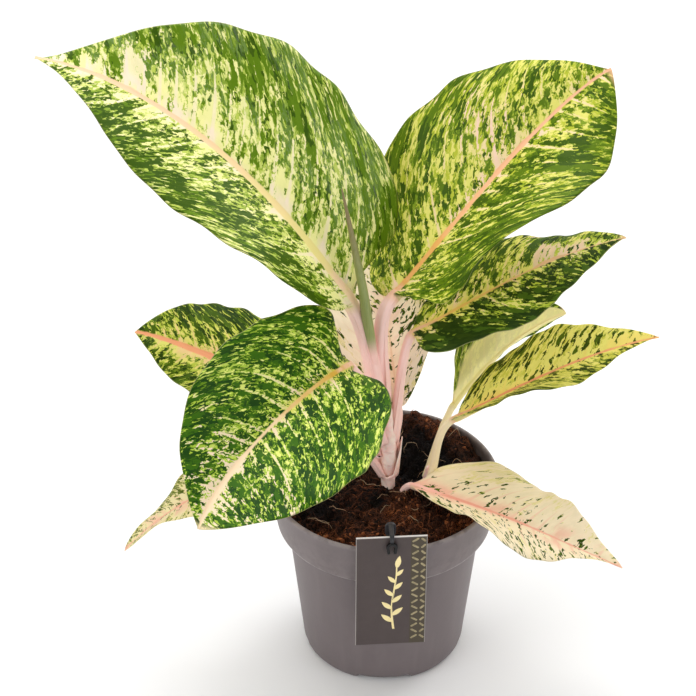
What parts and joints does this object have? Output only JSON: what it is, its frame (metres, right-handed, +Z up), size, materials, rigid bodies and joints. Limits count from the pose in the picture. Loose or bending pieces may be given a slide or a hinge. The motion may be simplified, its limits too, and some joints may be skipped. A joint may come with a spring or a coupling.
{
  "type": "potted chinese evergreen",
  "caption": "Potted chinese evergreen with broad, pointed, speckled leaves on fleshy stalks, in a round tapered nursery pot of dark soil with a label card on a peg.",
  "frame": {"origin": "middle of the pot's underside, on the surface it stands on", "axes": "+Z up along the pot's axis, -Y towards the front where the label card hangs, +X to the right as seen from the front"},
  "size_m": [0.3098, 0.2198, 0.345],
  "materials": {
    "pot_plastic": "matte taupe grey moulded polypropylene",
    "soil": "dark moist compost of peat, bark chips and fibre",
    "stem_flesh": "smooth fleshy stem, pinkish white",
    "leaf_flesh": "semi-gloss leaf, mid green flecked with lime yellow, pink midrib",
    "pale_leaf_flesh": "semi-gloss leaf, cream pink with sparse dark green specks",
    "new_leaf_flesh": "smooth rolled leaf, olive green with a brown tip",
    "sheath_flesh": "dry papery sheath, pale brownish pink",
    "card_plastic": "satin dark warm grey card with a printed gold ornament",
    "peg_plastic": "black injection moulded plastic"
  },
  "bodies": {
    "root": {"pot": "pot_plastic", "soil": "soil", "main_stem": "stem_flesh", "side_stem": "stem_flesh", "new_leaf": "new_leaf_flesh", "leaf_high_left": "leaf_flesh", "leaf_high_right": "leaf_flesh", "leaf_mid_right": "leaf_flesh", "leaf_side_back": "leaf_flesh", "leaf_side_front": "leaf_flesh", "leaf_low_right": "pale_leaf_flesh", "leaf_front": "leaf_flesh", "leaf_mid_left": "leaf_flesh", "leaf_low_left": "pale_leaf_flesh", "leaf_back": "pale_leaf_flesh", "old_sheath": "sheath_flesh", "label_card": "card_plastic", "label_peg": "peg_plastic"}
  },
  "joints": []
}
